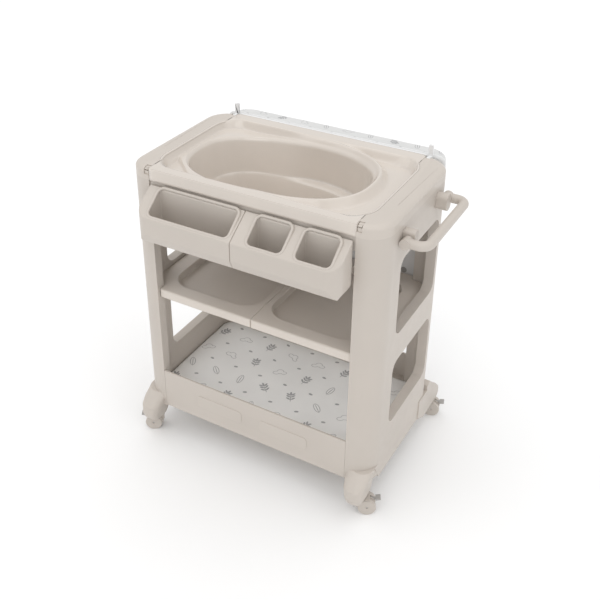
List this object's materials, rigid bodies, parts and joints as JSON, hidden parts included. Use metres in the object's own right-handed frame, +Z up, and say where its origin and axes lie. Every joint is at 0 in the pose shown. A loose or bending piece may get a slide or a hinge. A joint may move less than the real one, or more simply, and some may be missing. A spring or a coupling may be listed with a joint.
{
  "type": "changing table",
  "caption": "Bath and changing station on casters with a lift-out tub, storage bins, shelves, a towel rail and a padded top that slides over the tub.",
  "frame": {"origin": "middle of the object's box, on the floor", "axes": "+X to the towel rail's side, +Y to the back where the changing top hangs, +Z up"},
  "size_m": [0.8496, 0.6098, 0.928],
  "materials": {
    "frame_plastic": "satin moulded beige polypropylene",
    "rim_plastic": "satin moulded beige polypropylene",
    "tub_plastic": "glossy moulded beige polypropylene",
    "steel": "zinc plated steel",
    "caster_plastic": "moulded beige nylon",
    "axle_steel": "steel",
    "grey_plastic": "grey moulded plastic",
    "white_plastic": "white moulded plastic",
    "printed_cover": "white wipe-clean coated fabric with a small grey print"
  },
  "bodies": {
    "frame": {"left_side_panel": "frame_plastic", "right_side_panel": "frame_plastic", "left_rim_cap": "rim_plastic", "right_rim_cap": "rim_plastic", "front_crossbar": "frame_plastic", "rear_crossbar": "frame_plastic", "boss_screws": "steel", "catch_hooks": "rim_plastic", "hinge_pins": "steel", "left_shelf": "frame_plastic", "right_shelf": "frame_plastic", "shelf_pegs": "steel", "bottom_tray": "frame_plastic", "bottom_mat": "printed_cover", "rail_front_boss": "frame_plastic", "rail_rear_boss": "frame_plastic", "rail_pivot_pins": "steel", "caster_stems": "steel"},
    "towel_rail": {"towel_rail": "frame_plastic"},
    "bath_tub": {"bath_tub": "tub_plastic", "drain_spout": "grey_plastic"},
    "drain_plug": {"drain_plug": "grey_plastic"},
    "left_bin": {"left_bin": "frame_plastic"},
    "right_bin": {"right_bin": "frame_plastic"},
    "hinge_arms": {"left_hinge_arm": "white_plastic", "right_hinge_arm": "white_plastic"},
    "changing_top": {"changing_board": "white_plastic", "board_snaps": "grey_plastic", "changing_pad": "printed_cover"},
    "front_left_caster": {"front_left_caster": "caster_plastic"},
    "front_left_wheels": {"front_left_wheels": "caster_plastic", "front_left_axle": "axle_steel"},
    "front_left_brake": {"front_left_brake": "grey_plastic"},
    "front_right_caster": {"front_right_caster": "caster_plastic"},
    "front_right_wheels": {"front_right_wheels": "caster_plastic", "front_right_axle": "axle_steel"},
    "front_right_brake": {"front_right_brake": "grey_plastic"},
    "rear_left_caster": {"rear_left_caster": "caster_plastic"},
    "rear_left_wheels": {"rear_left_wheels": "caster_plastic", "rear_left_axle": "axle_steel"},
    "rear_left_brake": {"rear_left_brake": "grey_plastic"},
    "rear_right_caster": {"rear_right_caster": "caster_plastic"},
    "rear_right_wheels": {"rear_right_wheels": "caster_plastic", "rear_right_axle": "axle_steel"},
    "rear_right_brake": {"rear_right_brake": "grey_plastic"}
  },
  "joints": [
    {"name": "towel_rail_fold", "type": "hinge", "parent": "frame", "child": "towel_rail", "pos_m": [0.3608, 0.0026, 0.83], "axis": [0, 1, 0], "range_deg": [0, 90]},
    {"name": "tub_lift", "type": "slide", "parent": "frame", "child": "bath_tub", "axis": [0, 0, -1], "range_m": [-0.3, 0]},
    {"name": "plug_pull", "type": "slide", "parent": "bath_tub", "child": "drain_plug", "axis": [0, 0, 1], "range_m": [0, 0.06]},
    {"name": "left_bin_pull", "type": "slide", "parent": "frame", "child": "left_bin", "axis": [0, -1, 0], "range_m": [0, 0.12]},
    {"name": "right_bin_pull", "type": "slide", "parent": "frame", "child": "right_bin", "axis": [0, -1, 0], "range_m": [0, 0.12]},
    {"name": "top_swing", "type": "hinge", "parent": "frame", "child": "hinge_arms", "pos_m": [0.2788, 0.2021, 0.892], "axis": [1, 0, 0], "range_deg": [0, 90]},
    {"name": "top_slide", "type": "slide", "parent": "hinge_arms", "child": "changing_top", "axis": [0, 0, 1], "range_m": [0, 0.42]},
    {"name": "front_left_swivel", "type": "hinge", "parent": "frame", "child": "front_left_caster", "pos_m": [-0.3642, -0.2074, 0.06], "axis": [0, 0, 1], "continuous": true},
    {"name": "front_left_roll", "type": "hinge", "parent": "front_left_caster", "child": "front_left_wheels", "pos_m": [-0.38169, -0.2171, 0.025], "axis": [0.4848, -0.8746, 0], "continuous": true},
    {"name": "front_left_brake_press", "type": "hinge", "parent": "front_left_caster", "child": "front_left_brake", "pos_m": [-0.39394, -0.22388, 0.043], "axis": [0.4848, -0.8746, 0], "range_deg": [0, 15]},
    {"name": "front_right_swivel", "type": "hinge", "parent": "frame", "child": "front_right_caster", "pos_m": [0.3138, -0.2074, 0.06], "axis": [0, 0, 1], "continuous": true},
    {"name": "front_right_roll", "type": "hinge", "parent": "front_right_caster", "child": "front_right_wheels", "pos_m": [0.33162, -0.19832, 0.025], "axis": [-0.454, 0.891, 0], "continuous": true},
    {"name": "front_right_brake_press", "type": "hinge", "parent": "front_right_caster", "child": "front_right_brake", "pos_m": [0.34409, -0.19196, 0.043], "axis": [-0.454, 0.891, 0], "range_deg": [0, 15]},
    {"name": "rear_left_swivel", "type": "hinge", "parent": "frame", "child": "rear_left_caster", "pos_m": [-0.3702, 0.2646, 0.06], "axis": [0, 0, 1], "continuous": true},
    {"name": "rear_left_roll", "type": "hinge", "parent": "rear_left_caster", "child": "rear_left_wheels", "pos_m": [-0.38752, 0.2746, 0.025], "axis": [-0.5, -0.866, 0], "continuous": true},
    {"name": "rear_left_brake_press", "type": "hinge", "parent": "rear_left_caster", "child": "rear_left_brake", "pos_m": [-0.39964, 0.2816, 0.043], "axis": [-0.5, -0.866, 0], "range_deg": [0, 15]},
    {"name": "rear_right_swivel", "type": "hinge", "parent": "frame", "child": "rear_right_caster", "pos_m": [0.3198, 0.2646, 0.06], "axis": [0, 0, 1], "continuous": true},
    {"name": "rear_right_roll", "type": "hinge", "parent": "rear_right_caster", "child": "rear_right_wheels", "pos_m": [0.33912, 0.26978, 0.025], "axis": [-0.2588, 0.9659, 0], "continuous": true},
    {"name": "rear_right_brake_press", "type": "hinge", "parent": "rear_right_caster", "child": "rear_right_brake", "pos_m": [0.35264, 0.2734, 0.043], "axis": [-0.2588, 0.9659, 0], "range_deg": [0, 15]}
  ]
}
